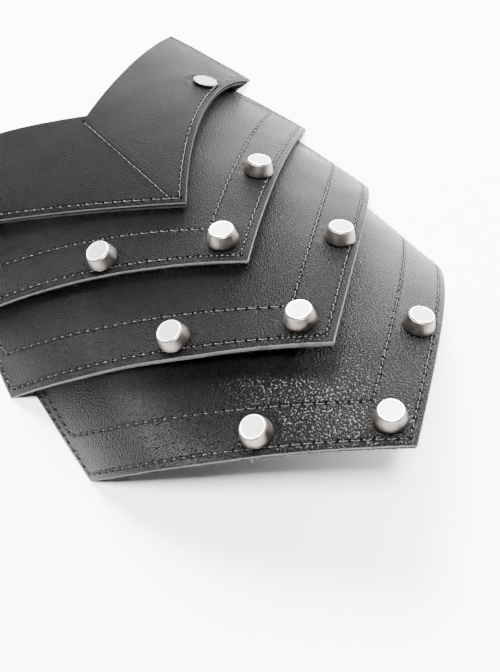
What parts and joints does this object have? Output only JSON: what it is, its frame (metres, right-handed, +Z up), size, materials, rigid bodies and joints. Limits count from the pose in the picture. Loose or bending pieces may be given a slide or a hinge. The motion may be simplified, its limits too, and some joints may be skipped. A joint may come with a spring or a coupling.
{
  "type": "spiked shoulder harness",
  "caption": "Arched black leather shoulder piece: a plain cap over overlapping chevron lames with flat-topped conical studs.",
  "frame": {"origin": "on the surface it lies on, under the middle of the whole piece", "axes": "+X across the ridge towards the wing on the right, +Y along the ridge towards the neck, +Z up"},
  "size_m": [0.1498, 0.2134, 0.052],
  "materials": {
    "black_leather": "satin",
    "pewter": "satin"
  },
  "bodies": {
    "root": {"lower_lame": "black_leather", "middle_lame": "black_leather", "upper_lame": "black_leather", "shoulder_cap": "black_leather", "lower_lame_stud_ridge": "pewter", "lower_lame_stud_left": "pewter", "lower_lame_stud_right": "pewter", "middle_lame_stud_ridge": "pewter", "middle_lame_stud_left": "pewter", "middle_lame_stud_right": "pewter", "upper_lame_stud_ridge": "pewter", "upper_lame_stud_left": "pewter", "upper_lame_stud_right": "pewter", "shoulder_cap_rivet_left": "pewter", "shoulder_cap_rivet_right": "pewter"}
  },
  "joints": []
}
